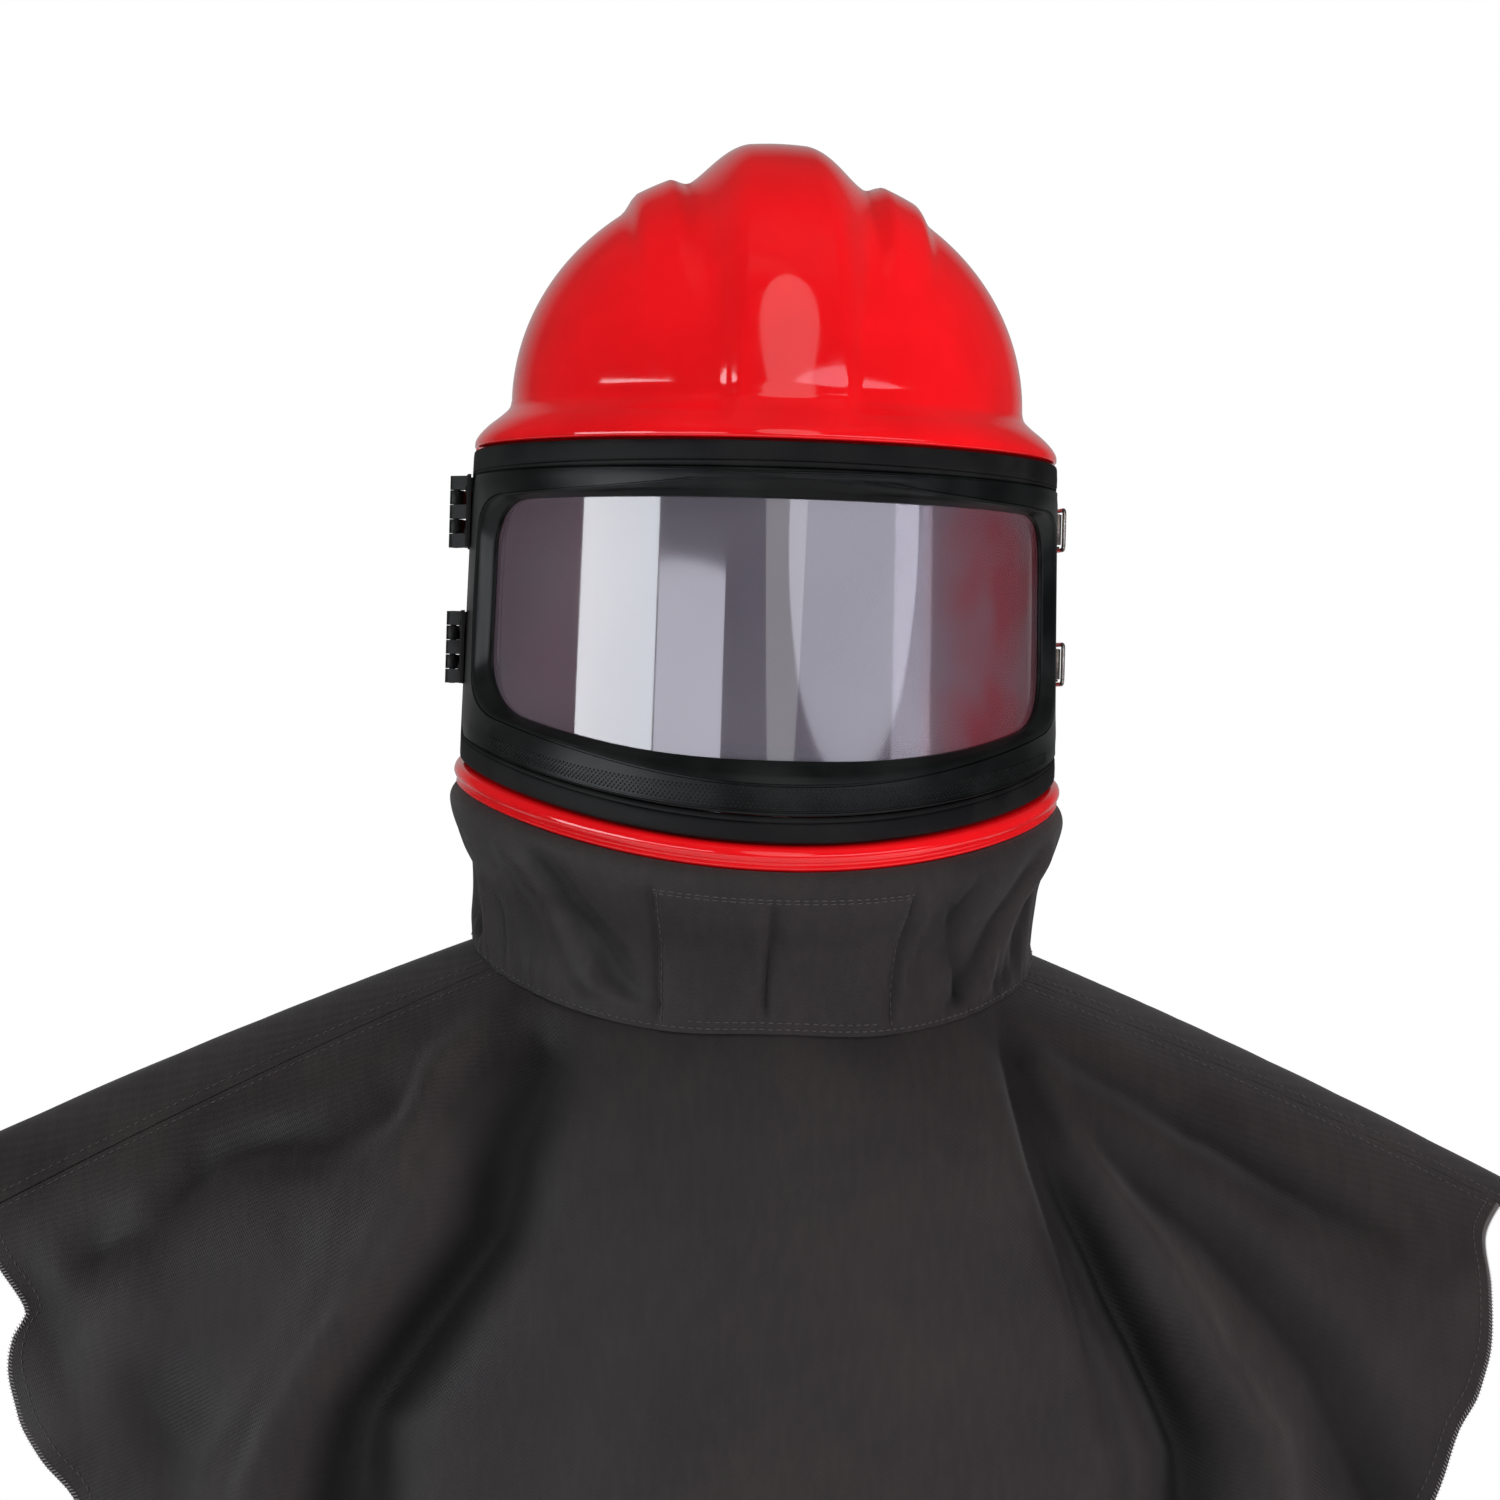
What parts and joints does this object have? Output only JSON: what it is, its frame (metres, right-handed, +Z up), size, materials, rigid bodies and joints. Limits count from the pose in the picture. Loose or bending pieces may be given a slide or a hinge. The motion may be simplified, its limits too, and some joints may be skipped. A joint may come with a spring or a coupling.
{
  "type": "sandblasting hood",
  "caption": "Red hard helmet with a hinged black window frame, two draw latches, and a dark cloth collar and shoulder cape, worn over the head for abrasive blasting.",
  "frame": {"origin": "inside apex of the crown, where the hood sits on the head", "axes": "+Z up, the window faces -Y, the hinges are at -X and the latches at +X"},
  "size_m": [0.6685, 0.372, 0.8902],
  "materials": {
    "red_shell": "gloss",
    "black_frame": "satin",
    "rubber": "matte",
    "window": "gloss",
    "hinge_black": "satin",
    "steel": "satin",
    "cloth": "matte"
  },
  "bodies": {
    "hood": {"helmet_shell": "red_shell", "hinge_shell_leaf_upper": "hinge_black", "hinge_shell_leaf_lower": "hinge_black", "latch_base_upper": "steel", "latch_base_lower": "steel", "collar": "cloth", "cape_front": "cloth", "cape_back": "cloth"},
    "window": {"window_frame": "black_frame", "frame_seal": "rubber", "lens": "window", "hinge_frame_leaf_upper": "hinge_black", "hinge_frame_leaf_lower": "hinge_black", "latch_keeper_upper": "steel", "latch_keeper_lower": "steel"},
    "upper_lever": {"latch_lever_upper": "steel"},
    "upper_bail": {"latch_bail_upper": "steel"},
    "lower_lever": {"latch_lever_lower": "steel"},
    "lower_bail": {"latch_bail_lower": "steel"}
  },
  "joints": [
    {"name": "window_swing", "type": "hinge", "parent": "hood", "child": "window", "pos_m": [-0.13167, 0.00833, -0.187], "axis": [0, 0, -1], "range_deg": [0, 115]},
    {"name": "upper_lever_lift", "type": "hinge", "parent": "hood", "child": "upper_lever", "pos_m": [0.12885, 0.02271, -0.158], "axis": [0, 0, -1], "range_deg": [0, 150]},
    {"name": "upper_bail_swing", "type": "hinge", "parent": "upper_lever", "child": "upper_bail", "pos_m": [0.12723, 0.02748, -0.158], "axis": [0, 0, -1], "range_deg": [-190, 1]},
    {"name": "lower_lever_lift", "type": "hinge", "parent": "hood", "child": "lower_lever", "pos_m": [0.12982, 0.02286, -0.216], "axis": [0, 0, -1], "range_deg": [0, 150]},
    {"name": "lower_bail_swing", "type": "hinge", "parent": "lower_lever", "child": "lower_bail", "pos_m": [0.12809, 0.02759, -0.216], "axis": [0, 0, -1], "range_deg": [-190, 1]}
  ],
  "couplings": [
    {"joint": "upper_bail_swing", "follows": "upper_lever_lift", "ratio": -1.15},
    {"joint": "lower_bail_swing", "follows": "lower_lever_lift", "ratio": -1.15}
  ]
}
